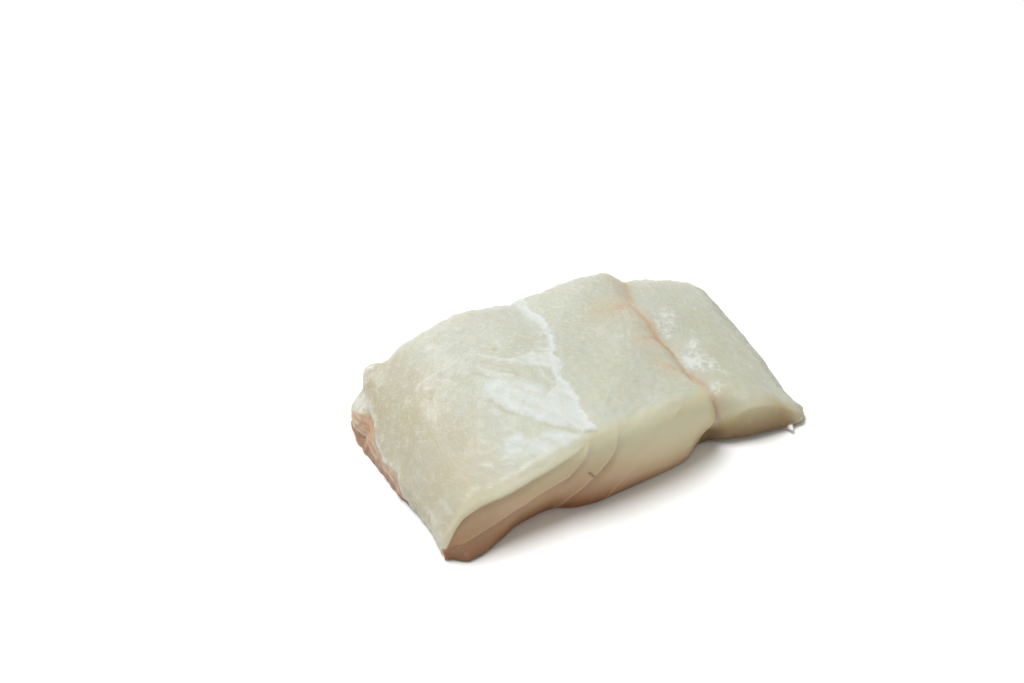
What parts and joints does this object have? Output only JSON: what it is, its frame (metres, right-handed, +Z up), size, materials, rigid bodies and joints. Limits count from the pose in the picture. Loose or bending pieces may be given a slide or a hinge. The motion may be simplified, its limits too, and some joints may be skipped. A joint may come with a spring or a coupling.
{
  "type": "cod fillet",
  "caption": "Portion of raw white fish fillet lying flesh side up, with a thick loin, flaked cut faces and a thin belly flap behind a shallow seam.",
  "frame": {"origin": "centre of the bounding box, at the flat underside", "axes": "+X from the torn edge of the loin to the tip of the belly flap, +Y from the front cut to the rear cut, +Z up from the skin side to the flesh side"},
  "size_m": [0.1418, 0.077, 0.0356],
  "materials": {
    "flesh": "wet, translucent, cream white fish flesh, pinkish on the cut faces"
  },
  "bodies": {
    "root": {"cod_fillet": "flesh"}
  },
  "joints": []
}
